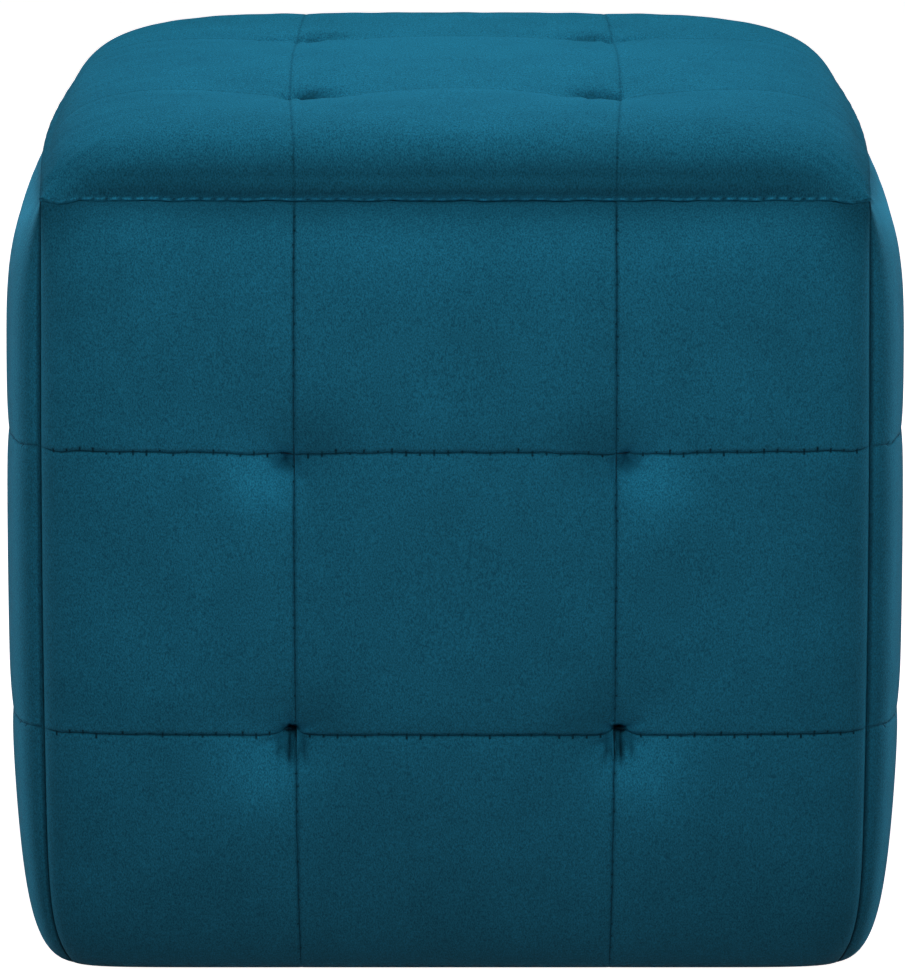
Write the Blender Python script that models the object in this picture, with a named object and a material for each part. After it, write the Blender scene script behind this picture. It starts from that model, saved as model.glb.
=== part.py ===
"""Cube pouf stool: a filled velvet cube of five quilted and tufted panels on a flat base cover.

The origin is at the middle of the underside, on the floor. +Z is up and the front faces -Y.
Each panel is one filled solid: its outer face carries the crown, the quilting channels and the four
tufts, and behind that it narrows to the middle of the cube, so the panels fill it between them.
"""

import math

import bmesh
import bpy
from mathutils import Matrix, Vector

# Driving sizes, in metres.
HALF_WIDTH = 0.1375  # from the middle to an upright corner seam
SEAM_HEIGHT = 0.2642  # floor to the seam round the top panel, at a corner
GAP = 0.0003  # between one panel and the next

# Body: how the side panels stand out between their seams.
SIDE_CROWN = 0.0126
BODY_BOW = 0.0043  # bow of a side panel between its corner seams, at mid height
RIM_BOW = 0.0030  # the same bow along the top seam
RIM_ARCH = 0.0018  # rise of the top seam at the middle of each side
CORNER_BOW = 0.0012  # the corner seams stand out this far at mid height
CORNER_SQUARENESS = 9.7  # a higher power keeps the side flat for longer before it turns in
UPPER_TURN = 0.095  # height of the stretch that turns in to the top seam
UPPER_SQUARENESS = 3.3
LOWER_TURN = 0.078  # height of the stretch that draws in to the floor
LOWER_SQUARENESS = 2.0
LOWER_ROOT = 3.4  # a higher root makes a tighter fold at the floor
CORNER_TUCK = 0.0086  # the lowest stretch of each corner seam draws in towards the base
EDGE_TUCK = 0.0030  # the rest of the panel's lower edge draws in by less
TUCK_REACH = 0.0110
TUCK_SHARPNESS = 14  # a higher power keeps the corner's tuck nearer the corner

# Top panel.
TOP_CROWN = 0.0337
TOP_SQUARENESS = 5.5
TOP_OVERHANG = 0.0022  # the shoulder rolls out past the seam by this
OVERHANG_SHARPNESS = 6
TOP_SPREAD = 0.0040  # the crown carries the tufts this far out from the lines of the sides

# Quilting: two lines each way on every panel, with a tuft at each crossing.
LINE_AT = 0.388  # place of the lines, as a share of the half width
SIDE_ROWS = (0.0858, 0.1812)  # heights of the level lines at the corners
# The channels are "channel" deep in the middle and lose the share "fade" of that at the seams.
SIDE_QUILTING = {
    "channel": 0.0022,
    "channel_reach": 0.0075,
    "fade": 0.5,
    "tuft": 0.0105,
    "tuft_reach": 0.0110,
}
TOP_QUILTING = {
    "channel": 0.0046,
    "channel_reach": 0.0120,
    "fade": 1.0,
    "tuft": 0.0150,
    "tuft_reach": 0.0140,
}

# Base cover: a flat dark cloth on the underside.
BASE_HALF = 0.1300
BASE_THICK = 0.0010
BASE_CORNER = 0.0100
BASE_CORNER_STEPS = 5

STEPS = 9  # faces across each of the three quilted squares, closer together beside the channels
SHARP_EDGE = 50  # degrees: the seams stay crisp, the padding is shaded smooth

# Name of each side panel and its turn about the upright axis, in degrees.
SIDE_PANELS = (
    ("front_panel", 0),
    ("right_panel", 90),
    ("back_panel", 180),
    ("left_panel", 270),
)

PANEL_FLOOR = BASE_THICK + GAP
PANEL_HEIGHT = SEAM_HEIGHT - PANEL_FLOOR
VELVET_BLUE = (0.0075, 0.0840, 0.1330, 1.0)
BASE_BLACK = (0.0080, 0.0085, 0.0095, 1.0)


def dome(share, power, root=2.0):
    """1 at the middle of a panel, falling to 0 at its edge, where share is -1 or 1."""
    return max(0.0, 1.0 - abs(share) ** power) ** (1.0 / root)


def edge_at(height, share=1.0):
    """Distance of a panel's edge plane from the middle, at this height and this share of the way across.

    At the full share this is the corner seam itself."""
    tuck = EDGE_TUCK + (CORNER_TUCK - EDGE_TUCK) * abs(share) ** TUCK_SHARPNESS
    bow = CORNER_BOW * math.sin(math.pi * height / SEAM_HEIGHT)
    return HALF_WIDTH + bow - tuck * math.exp(-height / TUCK_REACH)


def quilting(across, up, columns, rows, sizes):
    """How far the stitched channels and the tufts pull the cloth in at a place on a panel."""
    nearest_line = min([abs(across - c) for c in columns] + [abs(up - r) for r in rows])
    nearest_tuft = min(math.hypot(across - c, up - r) for c in columns for r in rows)
    middle = sum(rows) / len(rows)
    outward = min(1.0, max(abs(across), abs(up - middle)) / HALF_WIDTH)
    channel = sizes["channel"] * math.exp(-nearest_line / sizes["channel_reach"])
    channel *= 1.0 - sizes["fade"] * outward**2
    return channel + sizes["tuft"] * math.exp(-nearest_tuft / sizes["tuft_reach"])


def side_point(s, t):
    """A point of the front panel: s runs from -1 to 1 across it, t from 0 to 1 up it."""
    rim = SEAM_HEIGHT + RIM_ARCH * (1.0 - s * s) - GAP / 2
    z = PANEL_FLOOR + t * (rim - PANEL_FLOOR)
    z_as_cut = PANEL_FLOOR + t * PANEL_HEIGHT
    corner = edge_at(z)
    upper = dome(max(0.0, 1.0 - (rim - z) / UPPER_TURN), UPPER_SQUARENESS)
    lower = dome(max(0.0, 1.0 - (z - PANEL_FLOOR) / LOWER_TURN), LOWER_SQUARENESS, LOWER_ROOT)
    held = dome(s, CORNER_SQUARENESS) * upper * lower
    columns = (-LINE_AT * HALF_WIDTH, LINE_AT * HALF_WIDTH)
    pulled = quilting(s * HALF_WIDTH, z_as_cut, columns, SIDE_ROWS, SIDE_QUILTING)
    bow = (RIM_BOW + (BODY_BOW - RIM_BOW) * math.sin(math.pi * t)) * (1.0 - s * s)
    bow *= min(1.0, z / LOWER_TURN)
    return Vector((s * (corner - GAP), -(edge_at(z, s) + bow + held * (SIDE_CROWN - pulled)), z))


def top_point(s, t):
    """A point of the top panel: s and t run from -1 to 1 across it and from front to back."""
    held = dome(s, TOP_SQUARENESS) * dome(t, TOP_SQUARENESS)
    roll = TOP_OVERHANG * math.sin(math.pi * held)
    x = s * (HALF_WIDTH + RIM_BOW * (1.0 - t * t) + roll * abs(s) ** (OVERHANG_SHARPNESS - 1))
    y = t * (HALF_WIDTH + RIM_BOW * (1.0 - s * s) + roll * abs(t) ** (OVERHANG_SHARPNESS - 1))
    x += TOP_SPREAD * (1.0 - t * t) * math.sin(math.pi * s)
    y += TOP_SPREAD * (1.0 - s * s) * math.sin(math.pi * t)
    rim = SEAM_HEIGHT + RIM_ARCH * (1.0 - s * s * t * t) + GAP / 2
    lines = (-LINE_AT * HALF_WIDTH, LINE_AT * HALF_WIDTH)
    pulled = quilting(s * HALF_WIDTH, t * HALF_WIDTH, lines, lines, TOP_QUILTING)
    return Vector((x, y, rim + held * (TOP_CROWN - pulled)))


def stations(stops):
    """Shares along a panel's side, from first stop to last, crowded together beside every stop."""
    places = [stops[0]]
    for low, high in zip(stops, stops[1:]):
        for step in range(1, STEPS + 1):
            places.append(low + (high - low) * (1.0 - math.cos(math.pi * step / STEPS)) / 2)
    return places


def padded_panel(across, up, point, to_core):
    """A grid of quilted cloth, closed by carrying its rim in to the middle of the cube."""
    panel = bmesh.new()
    last = len(across) - 1
    bmesh.ops.create_grid(panel, x_segments=last, y_segments=last, size=1.0)
    for vert in panel.verts:
        column = round((vert.co.x + 1.0) / 2 * last)
        row = round((vert.co.y + 1.0) / 2 * last)
        vert.co = point(across[column], up[row])
    rim = [edge for edge in panel.edges if edge.is_boundary]
    carried = bmesh.ops.extrude_edge_only(panel, edges=rim)["geom"]
    for vert in carried:
        if isinstance(vert, bmesh.types.BMVert):
            vert.co = to_core(vert.co)
    bmesh.ops.remove_doubles(panel, verts=panel.verts, dist=GAP / 10)
    bmesh.ops.recalc_face_normals(panel, faces=panel.faces)
    return panel


def object_from(shape, name, material, collection):
    """Puts a finished shape in the scene as one smooth-shaded object."""
    mesh = bpy.data.meshes.new(name)
    shape.to_mesh(mesh)
    shape.free()
    mesh.materials.append(material)
    mesh.shade_smooth()
    mesh.set_sharp_from_angle(angle=math.radians(SHARP_EDGE))
    made = bpy.data.objects.new(name, mesh)
    collection.objects.link(made)
    return made


def side_to_core(place):
    """The point of the upright middle axis that a rim point of the front panel is carried to."""
    on_top = place.z > SEAM_HEIGHT - GAP
    height = SEAM_HEIGHT + RIM_ARCH - GAP / 2 if on_top else place.z
    return Vector((0.0, -GAP, height))


def top_to_core(_place):
    """The underside of the top panel closes on the middle of the cube."""
    return Vector((0.0, 0.0, SEAM_HEIGHT + RIM_ARCH + GAP / 2))


def make_side_panels(material, collection):
    """Four alike panels, each a quarter turn on from the last."""
    across = stations((-1.0, -LINE_AT, LINE_AT, 1.0))
    rows = [(height - PANEL_FLOOR) / PANEL_HEIGHT for height in SIDE_ROWS]
    up = stations((0.0, *rows, 1.0))
    for name, turn in SIDE_PANELS:
        shape = padded_panel(across, up, side_point, side_to_core)
        made = object_from(shape, name, material, collection)
        made.rotation_euler = (0.0, 0.0, math.radians(turn))


def make_top_panel(material, collection):
    """The crowned seat panel, which rolls over the top seam on all four sides."""
    lines = stations((-1.0, -LINE_AT, LINE_AT, 1.0))
    object_from(padded_panel(lines, lines, top_point, top_to_core), "top_panel", material, collection)


def make_base_cover(material, collection):
    """A flat square of dark cloth with rounded corners, which the pouf stands on."""
    cloth = bmesh.new()
    size = Matrix.Diagonal((2 * BASE_HALF, 2 * BASE_HALF, BASE_THICK, 1.0))
    bmesh.ops.create_cube(cloth, size=1.0, matrix=Matrix.Translation((0, 0, BASE_THICK / 2)) @ size)
    upright = [e for e in cloth.edges if abs(e.verts[0].co.z - e.verts[1].co.z) > BASE_THICK / 2]
    bmesh.ops.bevel(
        cloth,
        geom=upright,
        offset=BASE_CORNER,
        segments=BASE_CORNER_STEPS,
        affect="EDGES",
        profile=0.5,
        material=-1,
    )
    object_from(cloth, "base_cover", material, collection)


def cloth_material(name, colour, roughness, sheen):
    """A plain cloth finish; sheen is the soft bright edge of a pile."""
    material = bpy.data.materials.new(name)
    material.use_nodes = True
    surface = material.node_tree.nodes["Principled BSDF"]
    surface.inputs["Base Color"].default_value = colour
    surface.inputs["Roughness"].default_value = roughness
    surface.inputs["Metallic"].default_value = 0.0
    surface.inputs["Sheen Weight"].default_value = sheen
    material.diffuse_color = colour
    return material


def main():
    for old in list(bpy.data.objects):
        bpy.data.objects.remove(old, do_unlink=True)
    collection = bpy.data.collections.new("cube_pouf_stool")
    bpy.context.scene.collection.children.link(collection)
    velvet = cloth_material("velvet", VELVET_BLUE, 0.85, 0.6)
    base_cloth = cloth_material("base_cloth", BASE_BLACK, 0.95, 0.0)
    make_side_panels(velvet, collection)
    make_top_panel(velvet, collection)
    make_base_cover(base_cloth, collection)


main()
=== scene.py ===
"""Cube pouf stool in petrol-blue velvet: its padded panels, sewing, finishes, lights and camera.

The pouf stands on the floor with its front facing -Y. Every panel is first laid out flat, as it was
cut, and each place on the flat cut is then carried to its place on the filled pouf.
"""

import math

import bmesh
import bpy
import numpy as np
from mathutils import Matrix, Vector


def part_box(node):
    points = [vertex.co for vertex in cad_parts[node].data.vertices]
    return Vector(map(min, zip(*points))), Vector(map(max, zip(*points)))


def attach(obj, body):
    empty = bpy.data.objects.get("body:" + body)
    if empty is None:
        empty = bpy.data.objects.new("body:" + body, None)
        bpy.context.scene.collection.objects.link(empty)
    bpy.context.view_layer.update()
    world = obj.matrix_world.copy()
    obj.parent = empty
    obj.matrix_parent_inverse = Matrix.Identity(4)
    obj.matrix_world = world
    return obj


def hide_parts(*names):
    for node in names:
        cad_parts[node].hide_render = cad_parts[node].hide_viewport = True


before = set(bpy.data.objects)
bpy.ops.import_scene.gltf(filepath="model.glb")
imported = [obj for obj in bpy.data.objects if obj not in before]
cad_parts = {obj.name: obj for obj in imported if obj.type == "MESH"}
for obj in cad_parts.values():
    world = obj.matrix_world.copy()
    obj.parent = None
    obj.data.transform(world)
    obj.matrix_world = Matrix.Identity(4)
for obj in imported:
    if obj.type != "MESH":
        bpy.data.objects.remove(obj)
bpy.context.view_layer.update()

MM = 0.001

# Form of the body, in metres. The heights and the width come from the frame. A squareness says how
# abruptly a panel turns at its edge: the higher it is, the flatter the panel and the tighter the turn.
RIM_BOW = 0.0030  # bow of a side panel along the top seam
RIM_ARCH = 0.0002  # rise of the top seam at the middle of each side
HALF_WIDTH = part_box("top_panel")[1][0] - RIM_BOW
SEAM_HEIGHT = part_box("top_panel")[0][2]
FLOOR_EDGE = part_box("front_panel")[0][2]
PANEL_HEIGHT = SEAM_HEIGHT - FLOOR_EDGE
GAP = 0.0003  # between one panel and the next

SIDE_CROWN = 0.0126  # how far a side panel stands out from its corner seams
BODY_BOW = 0.0031  # bow of a side panel half-way up
CORNER_BOW = 0.0010  # bow of the corner seams half-way up
CORNER_SQUARENESS = 9.7
UPPER_TURN = 0.0668  # height over which a side panel turns in to the top seam
UPPER_SQUARENESS = 4.4
UPPER_ROOT = 1.10
LOWER_TURN = 0.100  # height over which it turns in to its lower edge
LOWER_SQUARENESS = 2.0
LOWER_ROOT = 3.2
CORNER_TUCK = 0.0086  # how far the lower edge is drawn in at the corners
EDGE_TUCK = 0.0030  # and at its middle
TUCK_REACH = 0.0110
TUCK_SHARPNESS = 14

SHOULDER = 0.0268  # height that the seat reaches in its shoulders
SEAT_CROWN = 0.0026
SEAT_SLUMP = 0.0036  # the filling has settled away from the front edge
SEAT_SQUARENESS_ACROSS = 8.7
SEAT_SQUARENESS_ALONG = 13.0
CROWN_SQUARENESS = 2.2
SEAT_SPREAD = 0.0028  # the filling spreads the seat's cloth outward over the crown
SEAT_CORNER_FALL = 0.179  # share by which the seat's corners are lower
SEAT_CORNER_REACH = 0.0378

# Quilting. Each panel has two lines of stitches each way and a tuft at each crossing.
LINE = 0.388 * HALF_WIDTH
SIDE_ROWS = (0.0858, 0.1822)
EDGE_STITCHES = 19  # stitches across an outer square
MIDDLE_STITCHES = 23  # and across the middle one
MIDDLE_STITCHES_UP = 21

# Rows of the mesh: some to each stitch, and closer ones at set distances from the lines and the edges.
STEPS_PER_STITCH = 3
LINE_STEPS = np.array((0.3, 0.65, 1.05, 1.5, 2.0, 2.5, 3.1, 3.8, 4.6)) * MM
CORNER_RISES = np.arange(0.8, 5.0, 0.8) * MM
UPPER_RISES = np.arange(0.8, 4.0, 0.8) * MM
LOWER_RISES = np.arange(1.0, 6.0, 1.0) * MM
SHOULDER_RISES = np.array((0.35, 0.7, 1.1, 1.6, *np.arange(2.3, 18.0, 0.9))) * MM
CLEAR_OF_LINES = 0.4 * MM  # even rows this near the closer ones are left out
CLEAR_OF_EDGES = 0.5 * MM
PLACE_DIGITS = 7
ROUND = 2.0  # the root that gives a turn the shape of a rounded shoulder


def dome(share, power, root=ROUND):
    """1 at the middle of a panel, falling to 0 at its edge, where share is -1 or 1."""
    return np.maximum(0.0, 1.0 - np.abs(share) ** power) ** (1.0 / root)


def near(distance, reach):
    """1 on a line or a point, fading smoothly to nothing past the reach."""
    return np.exp(-((distance / reach) ** 2))


def off_rim(held):
    """0 at a panel's rim, and 1 from where the panel has risen half-way."""
    return np.minimum(1.0, 2.0 * held)


def edge_steps(squareness, root, scale, rises):
    """Distances in from an edge at which a crowned panel has risen by the given shares of its crown."""
    return np.concatenate([[0.0], scale * (1.0 - (1.0 - rises**root) ** (1.0 / squareness))])


CORNER_STEPS = edge_steps(CORNER_SQUARENESS, ROUND, HALF_WIDTH, CORNER_RISES / SIDE_CROWN)
UPPER_STEPS = edge_steps(UPPER_SQUARENESS, ROUND, UPPER_TURN, UPPER_RISES / SIDE_CROWN)
LOWER_STEPS = edge_steps(LOWER_SQUARENESS, LOWER_ROOT, LOWER_TURN, LOWER_RISES / SIDE_CROWN)
SHOULDER_STEPS = edge_steps(SEAT_SQUARENESS_ALONG, ROUND, HALF_WIDTH, SHOULDER_RISES / SHOULDER)


class Cut:
    """One panel's flat cut: where its lines run and how many stitches lie between them, one way."""

    def __init__(self, stops, stitches, low_steps, high_steps):
        self.stops = np.array(stops)
        self.count = np.concatenate([[0], np.cumsum(stitches)]).astype(float)
        self.low_steps, self.high_steps = low_steps, high_steps

    def lines(self):
        return self.stops[1:-1]

    def phase(self, place):
        """Number of stitches from the panel's edge to a place."""
        return np.interp(place, self.stops, self.count)

    def place(self, phase):
        return np.interp(phase, self.count, self.stops)

    def beside(self, place):
        """How far a place lies to one side or the other of the nearest line."""
        low, high = self.lines()
        return np.where(place < (low + high) / 2, place - low, place - high)

    def distance(self, place):
        return np.abs(self.beside(place))

    def from_edge(self, place):
        return np.minimum(place - self.stops[0], self.stops[-1] - place)

    def stations(self):
        """Places of the mesh's rows: a few to each stitch, and closer beside the lines and edges."""
        first = self.stops[0] + self.low_steps[-1] + CLEAR_OF_EDGES
        last = self.stops[-1] - self.high_steps[-1] - CLEAR_OF_EDGES
        even = self.place(np.arange(self.count[-1] * STEPS_PER_STITCH + 1) / STEPS_PER_STITCH)
        even = even[(even > first) & (even < last)]
        even = even[self.distance(even) > LINE_STEPS[-1] + CLEAR_OF_LINES]
        beside = [line + side * LINE_STEPS for line in self.lines() for side in (-1, 1)]
        edges = [self.stops[0] + self.low_steps, self.stops[-1] - self.high_steps]
        return np.unique(np.round(np.concatenate([even, self.lines(), *beside, *edges]), PLACE_DIGITS))


ACROSS_STOPS = (-HALF_WIDTH, -LINE, LINE, HALF_WIDTH)
UP_STOPS = (FLOOR_EDGE, *SIDE_ROWS, SEAM_HEIGHT)
ACROSS_STITCHES = (EDGE_STITCHES, MIDDLE_STITCHES, EDGE_STITCHES)
UP_STITCHES = (EDGE_STITCHES, MIDDLE_STITCHES_UP, EDGE_STITCHES)
ACROSS_SIDE = Cut(ACROSS_STOPS, ACROSS_STITCHES, CORNER_STEPS, CORNER_STEPS)
UP_SIDE = Cut(UP_STOPS, UP_STITCHES, LOWER_STEPS, UPPER_STEPS)
ALONG_TOP = Cut(ACROSS_STOPS, ACROSS_STITCHES, SHOULDER_STEPS, SHOULDER_STEPS)


def corner_bow(height):
    """How far the upright seams bow out between the floor and the top seam."""
    return CORNER_BOW * np.sin(math.pi * height / SEAM_HEIGHT)


def edge_at(height, share=1.0):
    """Distance of a side panel's edge plane from the middle. At the full share it is the corner seam."""
    tuck = EDGE_TUCK + (CORNER_TUCK - EDGE_TUCK) * np.abs(share) ** TUCK_SHARPNESS
    return HALF_WIDTH + corner_bow(height) - tuck * np.exp(-height / TUCK_REACH)


class Tuft:
    """A place where a thread draws the panel in, a little beside the crossing of its two lines."""

    def __init__(self, crossing, aside, make, seed):
        self.line = crossing[0]
        self.a, self.b = crossing[0] + aside[0], crossing[1] + aside[1]
        self.pit, self.reach, self.gather = make["pit"], make["reach"], make["gather"]
        self.lift, self.drop, self.fold = make.get("lift", 0.0), make.get("drop", 0.0), make.get("fold", 0.0)
        self.stretch, self.steepness = make.get("stretch", 1.0), make.get("steepness", 1.0)
        self.sharpness, self.outer = make.get("sharpness", 2.0), make.get("outer", 1.0)
        self.pull, self.shadow, self.painted_light_and_shade = make.get("pull", 1.0), make["shadow"], make.get("painted_light_and_shade")
        self.turns = np.random.RandomState(seed).uniform(0.0, 2.0 * math.pi, size=len(RAYS))

    def distance(self, a, b):
        """Distance from the tuft, counted shorter along its pocket."""
        return np.hypot((a - self.a) / self.stretch, b - self.b)

    def pocket(self, a, b):
        """How far in the pocket a place lies: 1 at the tuft, with a steeper wall in front than behind."""
        above = b - self.b
        away = np.hypot((a - self.a) / self.stretch, np.where(above < 0, above * self.steepness, above))
        return np.exp(-((away / self.reach) ** self.sharpness))

    def painted_tuft_shade(self, a, b):
        """Painted shade in the pocket, on the wall that shows."""
        inward, above, wide, tall, streaks, depth = self.shadow
        from_middle = (self.a - a) * math.copysign(1.0, self.line) - inward
        patch = near(np.hypot(from_middle / wide, (b - self.b - above) / tall), 1.0)
        streaked = patch * (1.0 + streaks * self.rays(a, b - STREAKS_ABOVE * above))
        return depth * np.clip(streaked, 0.0, 1.0) * self.inside(a)

    def folds(self, a, b):
        """A few short upright folds that hang down from the tuft, dented and painted as shade under its hood.
        """
        beside = (a - self.a) * math.copysign(1.0, self.line)
        below = near(b - self.b + FOLD_DROP, FOLD_LENGTH)
        hood = HOOD_SHARE * near(beside + HOOD_ASIDE, HOOD_REACH)
        return below * (hood + sum(share * near(beside - place, FOLD_REACH) for place, share in FOLDS))

    def inside(self, a):
        """The line holds the cloth, so less of the pocket reaches past it on the outside."""
        past = (a - self.line) * math.copysign(1.0, self.line)
        return self.outer + (1.0 - self.outer) * (0.5 - 0.5 * np.tanh(past / LINE_GRIP))

    def rays(self, a, b):
        """An uneven star about the tuft, as wide as it is narrow."""
        angle = np.arctan2(b - self.b, a - self.a)
        return sum(share * np.cos(rays * angle + turn) for (rays, share), turn in zip(RAYS, self.turns))

    def gathers(self, a, b):
        """Small folds that run out from the tuft like the rays of a star."""
        return self.gather * self.rays(a, b) * near(self.distance(a, b) - GATHER_RING, GATHER_REACH)


RAYS = ((7, 1.0), (11, 0.7), (5, 0.5))  # how many rays, and how strong
STREAKS_ABOVE = 2.0  # the streaks of painted shade fan out from this many times the patch's height above the tuft
GATHER_RING, GATHER_REACH = 5.5 * MM, 4.125 * MM
FOLDS = ((-1.5 * MM, 1.2), (0.6 * MM, 1.0), (4.0 * MM, 0.4), (-4.4 * MM, 0.4))
FOLD_REACH = 0.6 * MM
FOLD_DROP = 4.0 * MM
FOLD_LENGTH = 4.5 * MM
# the hood: a broad, shallow fold under the tuft, also painted as shade
HOOD_SHARE, HOOD_ASIDE, HOOD_REACH = 0.5, 0.5 * MM, 4.5 * MM
LINE_GRIP = 1.5 * MM


def quilting(a, b, cut_a, cut_b, tufts, sizes):
    """How far channels, tufts and gathers pull the cloth in, and the shade painted in the tufts' pockets and
    folds.
    """
    upright = np.exp(-cut_a.distance(a) / sizes["channel_reach"])
    level = sizes["level"] * np.exp(-((cut_b.distance(b) / sizes["channel_reach"]) ** sizes["level_cusp"]))
    middle = cut_b.lines().mean()
    outward = np.minimum(1.0, np.maximum(np.abs(a), np.abs(b - middle)) / HALF_WIDTH)
    pulled = sizes["channel"] * np.maximum(upright, level) * (1.0 - sizes["fade"] * outward**2)
    painted_tuft_shade = np.zeros_like(a)
    for tuft in tufts:
        away = tuft.distance(a, b) / sizes["tuft_reach"]
        folds = tuft.folds(a, b) if tuft.fold else 0.0
        pulled = pulled + tuft.pull * sizes["tuft"] * np.exp(-(away ** sizes["tuft_cusp"]))
        pulled = pulled + tuft.pit * tuft.inside(a) * tuft.pocket(a, b) + tuft.gathers(a, b)
        pulled = pulled + tuft.fold * folds
        # painted shade: the pockets and the folds under the tufts are darkened in the colour
        painted_tuft_shade = np.maximum(painted_tuft_shade, np.maximum(tuft.painted_tuft_shade(a, b), np.minimum(1.0, folds)))
    return pulled, painted_tuft_shade


SIDE_QUILTING = {
    "channel": 0.0016, "channel_reach": 0.0060, "fade": 0.8, "level": 1.0, "level_cusp": 1.0,
    "tuft": 0.0095, "tuft_reach": 0.0105, "tuft_cusp": 1.0,
}
TOP_QUILTING = {
    "channel": 0.0012, "channel_reach": 0.0070, "fade": 1.0, "level": 0.5, "level_cusp": 2.0,
    "tuft": 0.0038, "tuft_reach": 0.0240, "tuft_cusp": 2.0,
}

# Each kind of tuft. "shadow" is the patch of painted shade in its pocket: how far inward and above, how wide,
# how tall, how streaked and how dark. The last entry is the patch of painted light outside it: how much,
# how far above and how wide.
LOWER_TUFT = {
    "pit": 0.0090, "reach": 0.0027, "gather": 0.00050, "lift": 0.0006, "drop": 0.0012, "fold": 0.0018,
    "shadow": (0.0003, -0.0004, 0.0030, 0.0020, 0.1, 1.0), "painted_light_and_shade": (0.40, -0.0090, 0.0150),
}
UPPER_TUFT = {
    "pit": 0.0050, "reach": 0.0028, "gather": 0.00030, "drop": 0.0018,
    "shadow": (0.0006, 0.0002, 0.0032, 0.0026, 0.2, 0.75), "painted_light_and_shade": (0.48, -0.0040, 0.0125),
}
FRONT_SEAT_TUFT = {
    "pit": 0.0085, "reach": 0.0070, "gather": 0.00045, "stretch": 1.4, "steepness": 1.6,
    "sharpness": 2.2, "outer": 0.3, "shadow": (0.0012, 0.0045, 0.0062, 0.0052, 0.3, 0.85),
}
BACK_SEAT_TUFT = {
    "pit": 0.0050, "reach": 0.0070, "gather": 0.00045, "stretch": 1.9, "steepness": 1.5,
    "sharpness": 2.2, "outer": 0.3, "pull": 0.55, "shadow": (0.0020, 0.0060, 0.0100, 0.0060, 0.3, 0.45),
}


def side_tufts(seed):
    lower, upper = SIDE_ROWS
    return [
        Tuft((-LINE, lower), (-1.7 * MM, -0.7 * MM), LOWER_TUFT, seed),
        Tuft((LINE, lower), (1.7 * MM, -0.7 * MM), LOWER_TUFT, seed + 1),
        Tuft((-LINE, upper), (-3.2 * MM, -2.8 * MM), UPPER_TUFT, seed + 2),
        Tuft((LINE, upper), (3.4 * MM, -2.8 * MM), UPPER_TUFT, seed + 3),
    ]


def seat_tufts(seed):
    return [
        Tuft((-LINE, -LINE), (6.0 * MM, 0.0), FRONT_SEAT_TUFT, seed),
        Tuft((LINE, -LINE), (-6.0 * MM, 0.0), FRONT_SEAT_TUFT, seed + 1),
        Tuft((-LINE, LINE), (3.0 * MM, 0.0), BACK_SEAT_TUFT, seed + 2),
        Tuft((LINE, LINE), (-3.0 * MM, 0.0), BACK_SEAT_TUFT, seed + 3),
    ]


def stitch_strengths(seed):
    """How hard each stitch of a panel pulls. The same seed always gives the same stitches."""
    return np.random.RandomState(seed).uniform(WEAKEST_STITCH, STRONGEST_STITCH, size=MOST_STITCHES)


def needle_pull(phase, strength):
    """How hard each stitch draws the cloth in along a line: about 1 at a needle hole, 0 between holes."""
    hole = np.rint(phase)
    return near(phase - hole, HOLE_REACH) * strength[hole.astype(int)]


def sewn_lines(a, b, cut_a, cut_b, strength, level):
    """The narrow groove under each line, deeper at the needle holes, and the share of it on level lines."""
    at_a = GROOVE_BETWEEN + GROOVE_AT_HOLES * needle_pull(cut_b.phase(b), strength)
    at_b = GROOVE_BETWEEN + GROOVE_AT_HOLES * needle_pull(cut_a.phase(a), strength)
    groove_a = near(cut_a.distance(a), GROOVE_REACH) * at_a
    groove_b = near(cut_b.distance(b), GROOVE_REACH) * at_b
    return np.maximum(groove_a, level * groove_b)


MOST_STITCHES = 80  # more than a line holds
WEAKEST_STITCH, STRONGEST_STITCH = 0.5, 1.3
HOLE_REACH = 0.22  # of a stitch
GROOVE_BETWEEN, GROOVE_AT_HOLES = 0.7, 0.6
GROOVE_REACH = 0.55 * MM
GROOVE_DEPTH = 0.7 * MM
SEAT_GROOVE_DEPTH = 0.15 * MM
SEAT_LEVEL_SHARE = 0.6


def painted_tuft_light_and_shade(a, b, tufts):
    """Painted light below and outside each tuft, and painted shade above and inside it."""
    painted_light_and_shade = np.zeros_like(a)
    for tuft in tufts:
        outward = math.copysign(1.0, tuft.a)
        beside, above = (a - tuft.a) * outward, b - tuft.b
        lighter, light_above, light_reach = tuft.painted_light_and_shade
        from_light = np.hypot(beside - LIGHT_OUTWARD, (above - light_above) * LIGHT_TALLNESS)
        painted_light_and_shade += lighter * near(from_light, light_reach)
        painted_light_and_shade -= DARKER * near(np.hypot(beside - DARK_OUTWARD, above - DARK_ABOVE), DARK_REACH)
    return painted_light_and_shade


# where the painted light and the painted shade lie about each tuft
LIGHT_OUTWARD = 9 * MM
LIGHT_TALLNESS = 0.9  # below 1, the lighter patch is taller than it is wide
DARKER, DARK_OUTWARD, DARK_ABOVE, DARK_REACH = 0.18, -9 * MM, 6 * MM, 12 * MM


def rim_height(s):
    """Height of the top seam along a side. The stitches leave it a little wavy."""
    wave = sum(height * np.sin(waves * s + start) for height, waves, start in RIM_WAVES)
    dip = CORNER_DIP * near(np.abs(s) - DIP_PLACE, DIP_REACH)
    return SEAM_HEIGHT + RIM_ARCH * (1.0 - s * s) + wave * (1.0 - s**RIM_WAVE_SQUARENESS) - dip


RIM_WAVES = ((0.00012, 41.0, 1.0), (0.00010, 67.0, 0.0))
RIM_WAVE_SQUARENESS = 8  # the waves end at the corners
CORNER_DIP = 1.2 * MM
DIP_PLACE, DIP_REACH = 0.955, 0.03  # as shares of the half width


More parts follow.
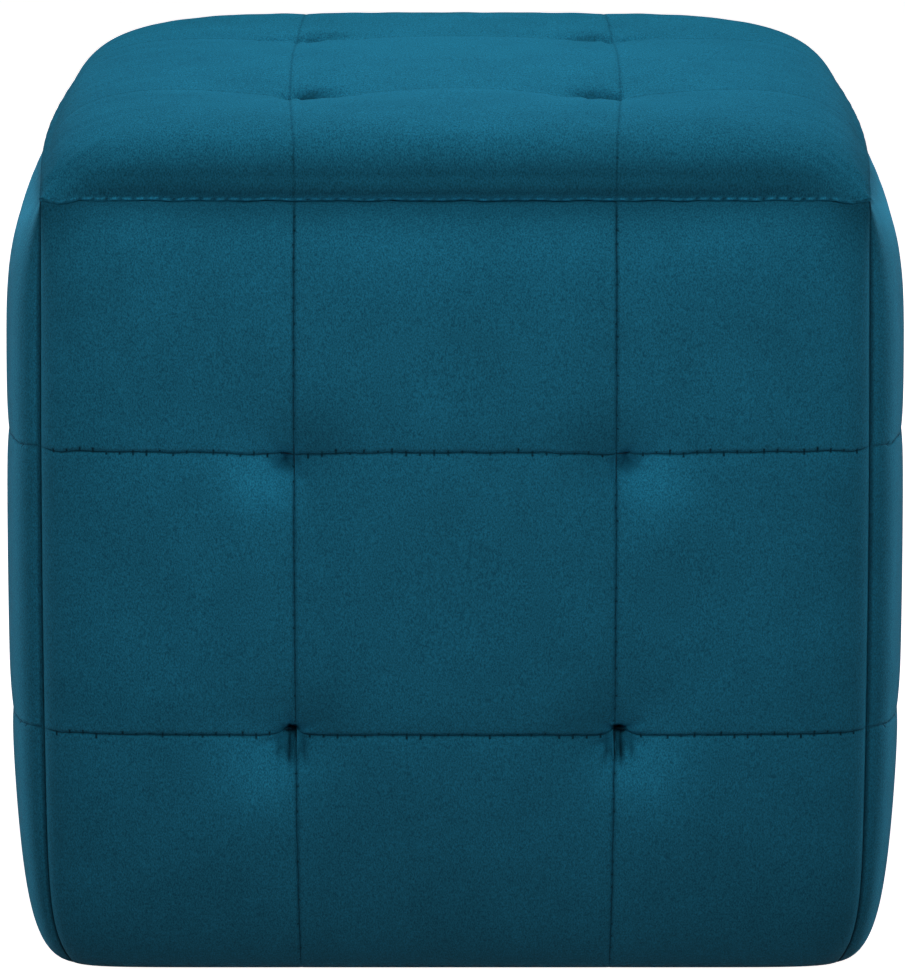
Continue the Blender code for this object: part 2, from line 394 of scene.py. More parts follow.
def side_surface(a, b, seed):
    """Carries places on a side's flat cut to the front of the pouf. Returns points, painted crease shade,
    painted light and shade.
    """
    tufts, strength = side_tufts(seed), stitch_strengths(seed)
    s = a / HALF_WIDTH
    t = (b - FLOOR_EDGE) / PANEL_HEIGHT
    rim = rim_height(s) - GAP / 2
    z = FLOOR_EDGE + t * (rim - FLOOR_EDGE)
    upper = dome(np.maximum(0.0, 1.0 - (rim - z) / UPPER_TURN), UPPER_SQUARENESS, UPPER_ROOT)
    lower = dome(np.maximum(0.0, 1.0 - (z - FLOOR_EDGE) / LOWER_TURN), LOWER_SQUARENESS, LOWER_ROOT)
    held = dome(s, CORNER_SQUARENESS) * upper * lower
    bow = (RIM_BOW + (BODY_BOW - RIM_BOW) * np.sin(math.pi * t)) * (1.0 - s * s)
    bow = bow * np.minimum(1.0, z / LOWER_TURN)
    pulled, painted_tuft_shade = quilting(a, b, ACROSS_SIDE, UP_SIDE, tufts, SIDE_QUILTING)
    groove = sewn_lines(a, b, ACROSS_SIDE, UP_SIDE, strength, 1.0)
    out = edge_at(z, s) + bow + held * (SIDE_CROWN - pulled)
    out = out - GROOVE_DEPTH * groove * off_rim(held)

    upright = HALF_WIDTH + corner_bow(z)
    x = s * (upright - GAP) - s * np.abs(s) ** SIDE_TUCK_SHARPNESS * (upright - edge_at(z))
    x -= LOWER_DRAW * np.sin(math.pi * s) * np.exp(-z / LOWER_DRAW_REACH)
    for tuft in tufts:
        away = tuft.distance(a, b)
        z = z + tuft.lift * near(away, LIFT_REACH) - tuft.drop * near(away, DROP_REACH)

    from_corner = (1.0 - np.abs(s)) * HALF_WIDTH
    to_upper_corner = np.hypot(from_corner, SEAM_HEIGHT - b)
    # Painted shade in the grooves, pockets, corner seams, top corners and hem; painted light and shade by the
    # tufts, under the seam and low down.
    crease_shade = np.maximum(GROOVE_SHADE * groove, painted_tuft_shade)
    crease_shade = np.maximum(crease_shade, CORNER_SEAM_SHADE * near(from_corner, CORNER_SEAM_SHADE_REACH))
    crease_shade = np.maximum(crease_shade, UPPER_CORNER_SHADE * near(to_upper_corner, UPPER_CORNER_REACH))
    crease_shade = np.maximum(crease_shade, HEM_SHADE * near(b - FLOOR_EDGE, HEM_SHADE_REACH))
    painted_light_and_shade = painted_tuft_light_and_shade(a, b, tufts) - SEAM_SHADE * near(SEAM_HEIGHT - b, SEAM_SHADE_REACH)
    painted_light_and_shade = painted_light_and_shade - LOW_SHADE * near(b - FLOOR_EDGE, LOW_SHADE_REACH)
    return np.stack([x, -out, z], axis=-1), crease_shade, painted_light_and_shade


SIDE_TUCK_SHARPNESS = 7
LOWER_DRAW, LOWER_DRAW_REACH = 1.2 * MM, 50 * MM  # the upright lines come a little together near the floor
LIFT_REACH, DROP_REACH = 5 * MM, 18 * MM
# painted shade in the grooves under the stitch lines
GROOVE_SHADE = 0.5
# painted shade in the cleft of each corner seam
CORNER_SEAM_SHADE, CORNER_SEAM_SHADE_REACH = 0.75, 0.1 * MM
UPPER_CORNER_SHADE, UPPER_CORNER_REACH = 0.36, 16 * MM  # painted shade at the top corners, where three panels meet
# painted shade along the lower edge, where it meets the floor
HEM_SHADE, HEM_SHADE_REACH = 0.9, 0.8 * MM
SEAM_SHADE, SEAM_SHADE_REACH = 0.28, 9 * MM  # painted shade under the seat's overhang, just below the seam
LOW_SHADE, LOW_SHADE_REACH = 0.18, 45 * MM  # painted shade, darker towards the floor


def top_surface(a, b, seed):
    """Carries places on the top's flat cut to the crowned seat. Returns points, painted crease shade, painted
    light and shade.
    """
    strength = stitch_strengths(seed)
    s, t = a / HALF_WIDTH, b / HALF_WIDTH
    to_corner = np.hypot(1.0 - np.abs(s), 1.0 - np.abs(t)) * HALF_WIDTH
    fall = SEAT_CORNER_FALL * near(to_corner, SEAT_CORNER_REACH)
    held = dome(s, SEAT_SQUARENESS_ACROSS) * dome(t, SEAT_SQUARENESS_ALONG) * (1.0 - fall)
    pulled, painted_tuft_shade = quilting(a, b, ALONG_TOP, ALONG_TOP, seat_tufts(seed), TOP_QUILTING)
    groove = sewn_lines(a, b, ALONG_TOP, ALONG_TOP, strength, SEAT_LEVEL_SHARE)
    crown = SEAT_CROWN * dome(s, CROWN_SQUARENESS, 1.0) * dome(t, CROWN_SQUARENESS, 1.0) + SEAT_SLUMP * t
    gathered = CORNER_GATHER * corner_gathers(s, t, seed) * off_rim(held)
    risen = held * (SHOULDER + crown - pulled) - gathered - SEAT_GROOVE_DEPTH * groove * off_rim(held)
    roll = OVERHANG * np.sin(math.pi * np.minimum(1.0, held * SHOULDER / OVERHANG_HEIGHT))
    pucker_a = needle_pull(ALONG_TOP.phase(a), strength)
    pucker_b = needle_pull(ALONG_TOP.phase(b), strength)
    lip = near(risen - LIP_HEIGHT, LIP_REACH)

    by_side = s * np.abs(s) ** EDGE_SHARPNESS
    by_front = t * np.abs(t) ** EDGE_SHARPNESS
    rolled_a = s * np.abs(s) ** ROLL_SHARPNESS * roll * (1.0 - np.abs(t) ** OVERHANG_FADE)
    rolled_b = t * np.abs(t) ** ROLL_SHARPNESS * roll * (1.0 - np.abs(s) ** OVERHANG_FADE)
    x = s * (HALF_WIDTH + RIM_BOW * (1.0 - t * t)) + rolled_a
    y = t * (HALF_WIDTH + RIM_BOW * (1.0 - s * s)) + rolled_b
    x += by_side * lip * LIP * (1.0 - LIP_PUCKER * pucker_b)
    y += by_front * lip * LIP * (1.0 - LIP_PUCKER * pucker_a)
    x += SEAT_SPREAD * (1.0 - t * t) * np.sin(math.pi * s)
    y += SEAT_SPREAD * (1.0 - s * s) * np.sin(math.pi * t)
    along = np.where(np.abs(s) > np.abs(t), t, s)
    outer = np.maximum(np.abs(s), np.abs(t)) ** RIM_SHARPNESS
    rim = rim_height(along) * outer + (SEAM_HEIGHT + RIM_ARCH) * (1.0 - outer) + GAP / 2

    # Painted shade in the grooves, tuft pockets and lip puckers; a painted highlight on the lip between
    # stitches; painted shade on the shoulder.
    puckered = lip * np.maximum(np.abs(by_side) * pucker_b, np.abs(by_front) * pucker_a)
    crease_shade = np.maximum(SEAT_GROOVE_SHADE * groove, SEAT_TUFT_SHADE * painted_tuft_shade)
    crease_shade = np.maximum(crease_shade, PUCKER_SHADE * puckered)
    lip_highlight = np.maximum(np.abs(by_side) * (1.0 - pucker_b), np.abs(by_front) * (1.0 - pucker_a))
    lip_highlight = LIP_LIGHT * lip * lip_highlight * (1.0 - LIP_CORNER_SHADE * near(to_corner, LIP_CORNER_REACH))
    # painted shade on the seat's front and back shoulders, weaker at the sides and gone at the corners
    shoulder_share = np.where(np.abs(t) > np.abs(s), 1.0, SIDE_SHOULDER_SHARE)
    shoulder_share = shoulder_share * (1.0 - near(to_corner, SHOULDER_SHADE_CORNER_REACH))
    painted_shoulder_shade = SHOULDER_SHADE * near(held * SHOULDER - SHOULDER_SHADE_HEIGHT, SHOULDER_SHADE_REACH) * shoulder_share
    return np.stack([x, y, rim + risen], axis=-1), crease_shade, lip_highlight - painted_shoulder_shade


def corner_gathers(s, t, seed):
    """Small folds that fan out from each corner of the seat, where its cloth turns two ways at once."""
    along, across = (1.0 - np.abs(s)) * HALF_WIDTH, (1.0 - np.abs(t)) * HALF_WIDTH
    angle = np.arctan2(across, along) + CORNER_TURNS[0] * np.sign(s) + CORNER_TURNS[1] * np.sign(t) + seed
    folds = sum(share * np.cos(folds * angle + start) for folds, share, start in CORNER_FOLDS)
    return folds * near(np.hypot(along, across) - CORNER_GATHER_RING, CORNER_GATHER_REACH)


CORNER_GATHER, CORNER_GATHER_RING, CORNER_GATHER_REACH = 0.35 * MM, 15 * MM, 10 * MM
CORNER_FOLDS = ((17, 1.0, 0.0), (11, 0.6, 2.0))  # how many to a full turn, how strong and where they start
CORNER_TURNS = (0.7, 1.3)  # so that no two corners fold alike
OVERHANG, OVERHANG_HEIGHT, OVERHANG_FADE = 2.4 * MM, 9.2 * MM, 1.8
LIP, LIP_HEIGHT, LIP_REACH = 0.5 * MM, 0.7 * MM, 0.42 * MM  # the roll of cloth just over the top seam
LIP_PUCKER = 1.6  # above 1, the stitches draw the lip in past its own depth
EDGE_SHARPNESS = 40
ROLL_SHARPNESS = 8
RIM_SHARPNESS = 4
# how dark the painted shade is in the seat's grooves, tuft pockets and lip puckers
SEAT_GROOVE_SHADE, SEAT_TUFT_SHADE, PUCKER_SHADE = 0.25, 0.9, 0.8
# painted highlight on the lip between the stitches, with painted shade on it near the corners
LIP_LIGHT, LIP_CORNER_SHADE, LIP_CORNER_REACH = 2.2, 0.8, 18 * MM
SHOULDER_SHADE = 0.40  # painted shade on the seat's shoulder, just over the seam
SHOULDER_SHADE_HEIGHT, SHOULDER_SHADE_REACH = 7 * MM, 8 * MM
SHOULDER_SHADE_CORNER_REACH = 15 * MM
SIDE_SHOULDER_SHARE = 0.35  # the painted shoulder shade is weaker at the left and right


def turned(points, degrees):
    """The points turned about the upright axis."""
    cos, sin = math.cos(math.radians(degrees)), math.sin(math.radians(degrees))
    x, y, z = points[..., 0], points[..., 1], points[..., 2]
    return np.stack([x * cos - y * sin, x * sin + y * cos, z], axis=-1)


def side_core(rim):
    """Where the rim of a front panel is carried to, just past the pouf's upright middle axis."""
    on_top = rim[:, 2] > SEAM_HEIGHT - CORNER_DIP - GAP
    at_floor = rim[:, 2] < FLOOR_EDGE + GAP / 3
    height = np.where(at_floor, FLOOR_EDGE - 2 * GAP, rim[:, 2])
    height = np.where(on_top, SEAM_HEIGHT + RIM_ARCH - GAP / 2, height)
    return np.stack([np.zeros(len(rim)), np.full(len(rim), CORE_OVERLAP), height], axis=-1)


def top_core(rim):
    """The underside of the seat closes on the middle of the pouf, a little into the side panels."""
    return np.tile([0.0, 0.0, SEAM_HEIGHT - CORE_OVERLAP], (len(rim), 1))


CORE_OVERLAP = 2 * MM  # the panels run into each other at the core, so no light shows through the seams


def padded_panel(name, cuts, surface, core, seed, turn=0.0):
    """A fine grid of cloth on the filled form, closed behind by carrying its rim in to the core."""
    across, up = cuts[0].stations(), cuts[1].stations()
    shape = bmesh.new()
    bmesh.ops.create_grid(shape, x_segments=len(across) - 1, y_segments=len(up) - 1, size=1.0)
    bmesh.ops.extrude_edge_only(shape, edges=[edge for edge in shape.edges if edge.is_boundary])
    mesh = bpy.data.meshes.new(name)
    shape.to_mesh(mesh)
    shape.free()

    laid = np.empty(3 * len(mesh.vertices))
    mesh.vertices.foreach_get("co", laid)
    laid = laid.reshape(-1, 3)
    a = across[np.rint((laid[:, 0] + 1.0) / 2 * (len(across) - 1)).astype(int)]
    b = up[np.rint((laid[:, 1] + 1.0) / 2 * (len(up) - 1)).astype(int)]
    points, crease_shade, painted_light_and_shade = surface(a, b, seed)
    on_cloth = len(across) * len(up)
    points[on_cloth:] = core(points[on_cloth:])
    mesh.vertices.foreach_set("co", turned(points, turn).ravel())

    corner = np.empty(len(mesh.loops), dtype=np.int32)
    mesh.loops.foreach_get("vertex_index", corner)
    counted = np.stack([cuts[0].phase(a), cuts[1].phase(b)], axis=-1)
    mesh.uv_layers.new(name="stitches").data.foreach_set("uv", counted[corner].ravel())
    mesh.attributes.new("crease_shade", "FLOAT", "POINT").data.foreach_set("value", crease_shade)
    mesh.attributes.new("painted_light_and_shade", "FLOAT", "POINT").data.foreach_set("value", painted_light_and_shade)
    clear = np.minimum(1.0, np.minimum(cuts[0].from_edge(a), cuts[1].from_edge(b)) / CLEAR_OF_SEAMS)
    beside = np.stack([cuts[0].beside(a), cuts[1].beside(b), clear], axis=-1)
    mesh.attributes.new("sewing", "FLOAT_VECTOR", "POINT").data.foreach_set("vector", beside.ravel())

    shape = bmesh.new()
    shape.from_mesh(mesh)
    bmesh.ops.remove_doubles(shape, verts=shape.verts, dist=GAP / 10)
    bmesh.ops.recalc_face_normals(shape, faces=shape.faces)
    shape.to_mesh(mesh)
    shape.free()
    mesh.shade_smooth()
    mesh.set_sharp_from_angle(angle=math.radians(SHARP_ANGLE))
    return placed(name, mesh)


CLEAR_OF_SEAMS = 3 * MM  # the needle dents and their painted shade fade out this near a panel's edge
SHARP_ANGLE = 60


def placed(name, mesh):
    piece = bpy.data.objects.new(name, mesh)
    bpy.context.scene.collection.objects.link(piece)
    return piece


def to_linear(colour):
    """An sRGB hex colour as linear red, green, blue and alpha."""
    shares = [int(colour[i : i + 2], 16) / 255 for i in (1, 3, 5)]
    return [c / 12.92 if c <= 0.04045 else ((c + 0.055) / 1.055) ** 2.4 for c in shares] + [1.0]


def add(tree, kind, settings, inputs):
    """Adds one node with its settings. Each input is linked where it is a socket, and set where it isn't."""
    made = tree.nodes.new("ShaderNode" + kind)
    for name, value in settings.items():
        setattr(made, name, value)
    for name, value in inputs.items():
        if isinstance(value, bpy.types.NodeSocket):
            tree.links.new(value, made.inputs[name])
        else:
            made.inputs[name].default_value = value
    return made


def new_material(name):
    material = bpy.data.materials.new(name)
    material.use_nodes = True
    material.node_tree.nodes.clear()
    return material, material.node_tree


def leaning_pile(tree, lean):
    """The surface normal tipped the way the pile leans, which is down the cut."""
    normal = add(tree, "NewGeometry", {}, {}).outputs["Normal"]
    across = add(tree, "Tangent", {"direction_type": "UV_MAP", "uv_map": "stitches"}, {}).outputs["Tangent"]
    down = add(tree, "VectorMath", {"operation": "CROSS_PRODUCT"}, {0: across, 1: normal}).outputs[0]
    tip = {0: down, 1: (lean, lean, lean), 2: normal}
    tipped = add(tree, "VectorMath", {"operation": "MULTIPLY_ADD"}, tip).outputs[0]
    return add(tree, "VectorMath", {"operation": "NORMALIZE"}, {0: tipped}).outputs[0]


def needle_dents_and_shade(tree, strengths):
    """1 in the thin broken line under the stitches and in the short nicks across it at the needle holes:
    dents, and painted shade.
    """
    beside_lines = add(tree, "Attribute", {"attribute_name": "sewing"}, {}).outputs["Vector"]
    sewing = add(tree, "SeparateXYZ", {}, {0: beside_lines})
    stitches = add(tree, "UVMap", {"uv_map": "stitches"}, {}).outputs["UV"]
    counted = add(tree, "SeparateXYZ", {}, {0: stitches})
    dents_and_shade = []
    ways = (("X", "Y", UPRIGHT_NICK, strengths[0]), ("Y", "X", LEVEL_NICK, strengths[1]))
    for beside, along, nick, strength in ways:
        # Each stitch of each line has its own chances, drawn from its number.
        number = add(tree, "Math", {"operation": "ROUND"}, {0: counted.outputs[along]}).outputs[0]
        rounding = {0: counted.outputs[beside], 1: STITCHES_TO_NEXT_LINE}
        row = add(tree, "Math", {"operation": "SNAP"}, rounding).outputs[0]
        seed = add(tree, "Math", {"operation": "MULTIPLY_ADD"}, {0: row, 1: SEED_STEP, 2: number}).outputs[0]
        drawn = add(tree, "TexWhiteNoise", {"noise_dimensions": "1D"}, {"W": seed}).outputs["Color"]
        chance = add(tree, "SeparateColor", {}, {0: drawn})

        # A nick of dent and painted shade runs across the line at a needle hole, longer or shorter and a
        # little to one side.
        past = add(tree, "Math", {"operation": "SUBTRACT"}, {0: counted.outputs[along], 1: number}).outputs[0]
        off = add(tree, "Math", {"operation": "ABSOLUTE"}, {0: past}).outputs[0]
        shifts = {"Value": chance.outputs[0], "To Min": -0.5 * nick, "To Max": 0.5 * nick}
        shift = add(tree, "MapRange", {}, shifts).outputs[0]
        shifted = add(tree, "Math", {"operation": "SUBTRACT"}, {0: sewing.outputs[beside], 1: shift})
        away = add(tree, "Math", {"operation": "ABSOLUTE"}, {0: shifted.outputs[0]}).outputs[0]
        lengths = {"Value": chance.outputs[1], "To Min": nick * SHORTEST_NICK, "To Max": nick}
        length = add(tree, "MapRange", {}, lengths).outputs[0]
        share = add(tree, "Math", {"operation": "DIVIDE"}, {0: away, 1: length}).outputs[0]
        fade = {"Value": share, "From Min": 0.6, "From Max": 1.1, "To Min": 1.0, "To Max": 0.0}
        within = add(tree, "MapRange", {}, fade).outputs[0]
        fade = {"Value": off, "From Min": 0.04, "From Max": 0.12, "To Min": 1.0, "To Max": 0.0}
        narrow = add(tree, "MapRange", {}, fade).outputs[0]
        nicked = add(tree, "Math", {"operation": "MULTIPLY"}, {0: within, 1: narrow}).outputs[0]

        # The line itself wanders a little from stitch to stitch.
        wander = {"Value": chance.outputs[2], "To Min": -LINE_WANDER, "To Max": LINE_WANDER}
        wandered = add(tree, "MapRange", {}, wander).outputs[0]
        from_line = add(tree, "Math", {"operation": "SUBTRACT"}, {0: sewing.outputs[beside], 1: wandered})
        off_line = add(tree, "Math", {"operation": "ABSOLUTE"}, {0: from_line.outputs[0]}).outputs[0]
        fade = {"Value": off_line, "From Min": LINE_CORE, "From Max": LINE_EDGE}
        line = add(tree, "MapRange", {}, {**fade, "To Min": LINE_SHADE, "To Max": 0.0}).outputs[0]
        joined = add(tree, "Math", {"operation": "MAXIMUM"}, {0: nicked, 1: line}).outputs[0]
        dents_and_shade.append(add(tree, "Math", {"operation": "MULTIPLY"}, {0: joined, 1: strength}).outputs[0])
    either = add(tree, "Math", {"operation": "MAXIMUM"}, {0: dents_and_shade[0], 1: dents_and_shade[1]}).outputs[0]
    clear = add(tree, "Math", {"operation": "MULTIPLY"}, {0: either, 1: sewing.outputs["Z"]}).outputs[0]

    # The dents and painted shade show less where the cloth lies level, and fully where it is bent or upright.
    facing = add(tree, "TexCoord", {}, {}).outputs["Normal"]
    facing_up = add(tree, "SeparateXYZ", {}, {0: facing}).outputs["Z"]
    fade = {"Value": facing_up, "From Min": 0.5, "From Max": 0.95, "To Min": 1.0, "To Max": LEVEL_SHOWN}
    shown = add(tree, "MapRange", {}, fade).outputs[0]
    return add(tree, "Math", {"operation": "MULTIPLY"}, {0: clear, 1: shown}).outputs[0]


STITCHES_TO_NEXT_LINE = 31.0  # rounding down to multiples of it tells a panel's two lines apart
SEED_STEP = 3.17
UPRIGHT_NICK, LEVEL_NICK = 0.7 * MM, 1.3 * MM
SHORTEST_NICK = 0.25
LINE_WANDER = 0.15 * MM
LINE_CORE, LINE_EDGE = 0.12 * MM, 0.42 * MM
LINE_SHADE = 0.7
# share of the needle dents and their painted shade that shows where the cloth lies level
LEVEL_SHOWN = 0.4


def cut_pile_velvet(name, lean, sewn, combed):
    """Polyester velvet: a short dense pile, dark face on and light where it is seen from the side."""
    material, tree = new_material(name)
    place = add(tree, "TexCoord", {}, {}).outputs["Object"]
    locks_place = add(tree, "Mapping", {}, {"Vector": place, "Scale": combed}).outputs["Vector"]
    # Locks of pile are about 0.2 mm. They are drawn about 0.4 mm wide and 0.7 mm long, to show in the render.
    locks = {"Vector": locks_place, "Scale": 2300.0, "Detail": 2.0, "Roughness": 0.7}
    grain = add(tree, "TexNoise", {}, locks).outputs["Fac"]
    clouds = {"Vector": place, "Scale": 38.0, "Detail": 3.0, "Roughness": 0.6}
    nap = add(tree, "TexNoise", {}, clouds).outputs["Fac"]
    crease_shade = add(tree, "Attribute", {"attribute_name": "crease_shade"}, {}).outputs["Fac"]
    dents_and_shade = needle_dents_and_shade(tree, sewn)

    # The colour is darker or lighter by locks and clouds and by painted light and shade, and holds painted
    # shade in the creases and needle marks.
    shades = {"Value": grain, "From Min": 0.33, "From Max": 0.67, "To Min": 0.6, "To Max": 1.4}
    by_locks = add(tree, "MapRange", {}, shades).outputs[0]
    shades = {"Value": nap, "From Min": 0.3, "From Max": 0.7, "To Min": 0.92, "To Max": 1.08}
    by_clouds = add(tree, "MapRange", {}, shades).outputs[0]
    both = add(tree, "Math", {"operation": "MULTIPLY"}, {0: by_locks, 1: by_clouds}).outputs[0]
    # painted light and shade: by the tufts, under the seam, on the seat's shoulder and low down
    by_painted_light = add(tree, "Attribute", {"attribute_name": "painted_light_and_shade"}, {}).outputs["Fac"]
    level = add(tree, "Math", {"operation": "MULTIPLY_ADD"}, {0: both, 1: by_painted_light, 2: both}).outputs[0]
    for dark in (crease_shade, dents_and_shade):
        kept = add(tree, "MapRange", {}, {"Value": dark, "To Min": 1.0, "To Max": DARKEST}).outputs[0]
        level = add(tree, "Math", {"operation": "MULTIPLY"}, {0: level, 1: kept}).outputs[0]
    blue = {0: to_linear(VELVET_BLUE)[:3], "Scale": level}
    colour = add(tree, "VectorMath", {"operation": "SCALE"}, blue).outputs[0]

    sunk = {"Height": dents_and_shade, "Strength": 0.6, "Distance": 0.4 * MM, "Normal": leaning_pile(tree, lean)}
    sunk_marks = add(tree, "Bump", {"invert": True}, sunk).outputs[0]
    raised = {"Height": grain, "Strength": 0.6, "Distance": 0.3 * MM, "Normal": sunk_marks}
    bump = add(tree, "Bump", {}, raised).outputs[0]
    surface = add(tree, "BsdfPrincipled", {}, {"Base Color": colour, "Roughness": 0.9, "Normal": bump})
    surface.inputs["Specular IOR Level"].default_value = 0.05
    surface.inputs["Sheen Weight"].default_value = 0.68
    surface.inputs["Sheen Roughness"].default_value = 0.45
    surface.inputs["Sheen Tint"].default_value = to_linear(PILE_SHEEN)
    add(tree, "OutputMaterial", {}, {"Surface": surface.outputs[0]})
    return material


# the deepest painted shade, as a share of the velvet's colour
DARKEST = 0.12
SIDE_LEAN, SEAT_LEAN = 0.0, 0.5
SIDE_COMBED = (1.0, 1.0, 0.6)  # the locks are longer the way the pile is combed
SEAT_COMBED = (1.0, 0.4, 0.6)
SIDE_SEWN = (0.75, 1.0)  # how strongly the dents and painted shade of the upright and the level lines show
SEAT_SEWN = (0.6, 0.45)
VELVET_BLUE = "#1b6a86"
PILE_SHEEN = "#3dc1f0"
LINING_BLACK = "#15171a"
THREAD_BLUE = "#0f3547"
FLOOR_GREY = "#cfcfcf"
WHITE = (1.0, 1.0, 1.0, 1.0)


def sewing_thread():
    """Polyester thread dyed to match: two plies twisted, whose short slanted bands of light and shade are
    bumped and painted.
    """
    material, tree = new_material("polyester_sewing_thread")
    place = add(tree, "TexCoord", {}, {}).outputs["Object"]
    twist = {"Vector": place, "Scale": 320.0, "Distortion": 0.4}
    plies = add(tree, "TexWave", {"bands_direction": "DIAGONAL"}, twist)
    dye_and_shade = {0: 0.5, 1: to_linear(THREAD_BLUE), 2: plies.outputs["Color"]}
    colour = add(tree, "MixRGB", {"blend_type": "MULTIPLY"}, dye_and_shade).outputs[0]
    raised = {"Height": plies.outputs["Fac"], "Strength": 0.5, "Distance": 0.1 * MM}
    bump = add(tree, "Bump", {}, raised).outputs[0]
    surface = add(tree, "BsdfPrincipled", {}, {"Base Color": colour, "Roughness": 0.6, "Normal": bump})
    surface.inputs["Specular IOR Level"].default_value = 0.12
    add(tree, "OutputMaterial", {}, {"Surface": surface.outputs[0]})
    return material


def bonded_lining():
    """Black non-woven lining cloth: matt, faintly dimpled by the bonding rollers."""
    material, tree = new_material("bonded_lining")
    place = add(tree, "TexCoord", {}, {}).outputs["Object"]
    dimples = add(tree, "TexVoronoi", {}, {"Vector": place, "Scale": 700.0})
    raised = {"Height": dimples.outputs["Distance"], "Strength": 0.4, "Distance": 0.1 * MM}
    bump = add(tree, "Bump", {}, raised).outputs[0]
    black = {"Base Color": to_linear(LINING_BLACK), "Roughness": 0.95, "Normal": bump}
    surface = add(tree, "BsdfPrincipled", {}, black)
    add(tree, "OutputMaterial", {}, {"Surface": surface.outputs[0]})
    return material


def sewn_stitches(name, cuts, surface, seed, sunk, turn=0.0):
    """Every stitch on a panel's lines: a short bulge of thread that dives into the cloth at both ends."""
    mesh = bpy.data.meshes.new(name)
    shape = bmesh.new()
    across, up = (cut.place(np.arange(cut.count[-1] + 1)) for cut in cuts)
    lines = [(np.full(len(up), line), up, sunk[0]) for line in cuts[0].lines()]
    lines += [(across, np.full(len(across), line), sunk[1]) for line in cuts[1].lines()]
    for a, b, depth in lines:
        sew_line(mesh, surface, seed, turn, depth, a, b)
        shape.from_mesh(mesh)
    shape.to_mesh(mesh)
    shape.free()
    mesh.shade_smooth()
    return placed(name, mesh)


def sew_line(mesh, surface, seed, turn, depth, a, b):
    """The stitches from hole to hole along one line, but for the first and last, which the seams hide."""
    shape = bmesh.new()
    holes = turned(surface(a, b, seed)[0], turn)
    out = np.cross(
        turned(surface(a + CLOTH_SPAN, b, seed)[0], turn) - turned(surface(a - CLOTH_SPAN, b, seed)[0], turn),
        turned(surface(a, b + CLOTH_SPAN, seed)[0], turn) - turned(surface(a, b - CLOTH_SPAN, seed)[0], turn),
    )
    for i in range(1, len(holes) - 2):
        along = Vector(holes[i + 1] - holes[i])
        outward = Vector(out[i] + out[i + 1]).normalized()
        outward = (outward - along * outward.dot(along) / along.length_squared).normalized()
        middle = Vector((holes[i] + holes[i + 1]) / 2) - outward * depth
        across = outward.cross(along).normalized()
        axes = Matrix((across * THREAD, outward * THREAD, along * STITCH_SHARE)).transposed()
        where = Matrix.Translation(middle) @ axes.to_4x4()
        bmesh.ops.create_uvsphere(shape, u_segments=6, v_segments=4, radius=0.5, matrix=where)
    shape.to_mesh(mesh)
    shape.free()


CLOTH_SPAN = 1.2 * MM  # a stitch lies on the cloth as it runs this far to each side
THREAD = 0.5 * MM
STITCH_SHARE = 0.84  # of the way from hole to hole
SIDE_SUNK = (-0.05 * MM, -0.05 * MM)  # how deep the upright and the level lines lie in the pile
SEAT_SUNK = (0.3 * MM, 0.5 * MM)
PANELS = (("front", 0, 11), ("right", 90, 12), ("back", 180, 13), ("left", 270, 14))
SEAT_SEED = 15


def sew_panels(side_velvet, seat_velvet, thread):
    for side, turn, seed in PANELS:
        cuts = (ACROSS_SIDE, UP_SIDE)
        piece = padded_panel(f"{side}_cushioned_panel", cuts, side_surface, side_core, seed, turn)
        finish_panel(piece, f"{side}_panel", side_velvet)
        finish(sewn_stitches(f"{side}_stitches", cuts, side_surface, seed, SIDE_SUNK, turn), thread)
    cuts = (ALONG_TOP, ALONG_TOP)
    seat = padded_panel("seat_cushioned_panel", cuts, top_surface, top_core, SEAT_SEED)
    finish_panel(seat, "top_panel", seat_velvet)
    finish(sewn_stitches("seat_stitches", cuts, top_surface, SEAT_SEED, SEAT_SUNK), thread)


def finish(piece, material):
    piece.data.materials.append(material)
    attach(piece, "root")


def finish_panel(piece, node, velvet):
    finish(piece, velvet)
    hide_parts(node)


def pale_floor():
    """A plain floor, bright to look at, that adds nothing to the soft light on the pouf."""
    mesh = bpy.data.meshes.new("floor")
    shape = bmesh.new()
    bmesh.ops.create_grid(shape, x_segments=1, y_segments=1, size=FLOOR_HALF)
    shape.to_mesh(mesh)
    shape.free()
    material, tree = new_material("pale_floor")
    surface = add(tree, "BsdfPrincipled", {}, {"Base Color": to_linear(FLOOR_GREY), "Roughness": 0.9})
    surface.inputs["Emission Color"].default_value = WHITE
    surface.inputs["Emission Strength"].default_value = 1.0
    add(tree, "OutputMaterial", {}, {"Surface": surface.outputs[0]})
    mesh.materials.append(material)
    floor = placed("floor", mesh)
    floor.location = (0.0, 0.0, -FLOOR_DROP)
    floor.visible_diffuse = False


FLOOR_HALF = 12.0
FLOOR_DROP = 0.0003  # so that the floor and the underside don't lie in one plane


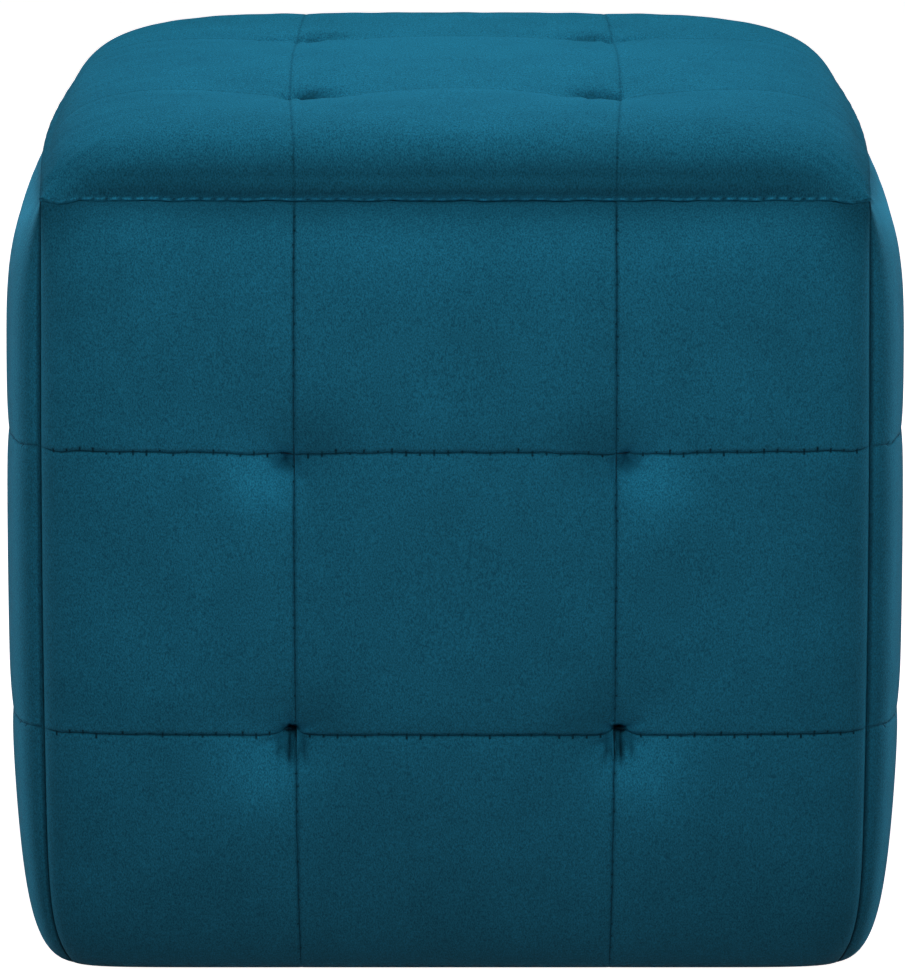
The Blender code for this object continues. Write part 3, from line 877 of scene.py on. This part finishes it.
def studio():
    """Soft light from above, in front and both sides, a white room, and the camera."""
    for name, place, aim, size, power in LIGHTS:
        data = bpy.data.lights.new(name, "AREA")
        data.shape = "RECTANGLE"
        data.size, data.size_y = size
        data.energy = power
        light = bpy.data.objects.new(name, data)
        light.location = place
        light.rotation_mode = "QUATERNION"
        light.rotation_quaternion = (Vector(aim) - Vector(place)).to_track_quat("-Z", "Y")
        bpy.context.scene.collection.objects.link(light)

    # The room behind is white to look at and lights nothing, so the pouf is lit by the lamps alone.
    world = bpy.data.worlds.new("room")
    world.use_nodes = True
    backdrop = world.node_tree.nodes["Background"]
    backdrop.inputs["Color"].default_value = WHITE
    seen = add(world.node_tree, "LightPath", {}, {}).outputs["Is Camera Ray"]
    world.node_tree.links.new(seen, backdrop.inputs["Strength"])
    bpy.context.scene.world = world
    bpy.context.scene.view_settings.view_transform = "Standard"

    camera = bpy.data.cameras.new("camera")
    camera.lens = LENS
    camera.sensor_width = SENSOR
    eye = bpy.data.objects.new("camera", camera)
    elevation = math.radians(CAMERA_ELEVATION)
    away = Vector((0.0, -math.cos(elevation), math.sin(elevation)))
    eye.location = Vector(CAMERA_AIM) + CAMERA_DISTANCE * away
    eye.rotation_euler = (math.pi / 2 - elevation, 0.0, 0.0)
    bpy.context.scene.collection.objects.link(eye)
    bpy.context.scene.camera = eye


CAMERA_DISTANCE = 2.391
CAMERA_ELEVATION = 11.4
CAMERA_AIM = (-0.0009, 0.0, 0.1408)
LENS = 250.4
SENSOR = 36.0
FRONT_AIM, SIDE_AIM = (0.0, -0.1, 0.15), (0.0, 0.0, 0.15)
LAMP, TALL_LAMP, SQUARE_LAMP = (0.3, 0.2), (0.8, 1.2), (0.8, 1.0)
LIGHTS = (
    ("above_front", (0.0, -0.35, 0.85), FRONT_AIM, LAMP, 0.64),
    ("near_front", (0.0, -0.8, 0.5), FRONT_AIM, LAMP, 1.18),
    ("far_front", (0.0, -1.1, 0.5), FRONT_AIM, LAMP, 2.65),
    ("overhead", (0.0, 0.0, 0.6), FRONT_AIM, LAMP, 0.88),
    ("left", (-1.5, 0.3, 0.4), SIDE_AIM, TALL_LAMP, 2.9),
    ("right", (1.5, 0.3, 0.4), SIDE_AIM, TALL_LAMP, 2.9),
    ("left_rim", (-1.2, 1.0, 0.5), SIDE_AIM, SQUARE_LAMP, 11.8),
    ("right_rim", (1.2, 1.0, 0.5), SIDE_AIM, SQUARE_LAMP, 11.8),
)


sew_panels(
    cut_pile_velvet("cut_pile_velvet", SIDE_LEAN, SIDE_SEWN, SIDE_COMBED),
    cut_pile_velvet("cut_pile_velvet_seat", SEAT_LEAN, SEAT_SEWN, SEAT_COMBED),
    sewing_thread(),
)
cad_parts["base_cover"].material_slots[0].material = bonded_lining()
pale_floor()
studio()
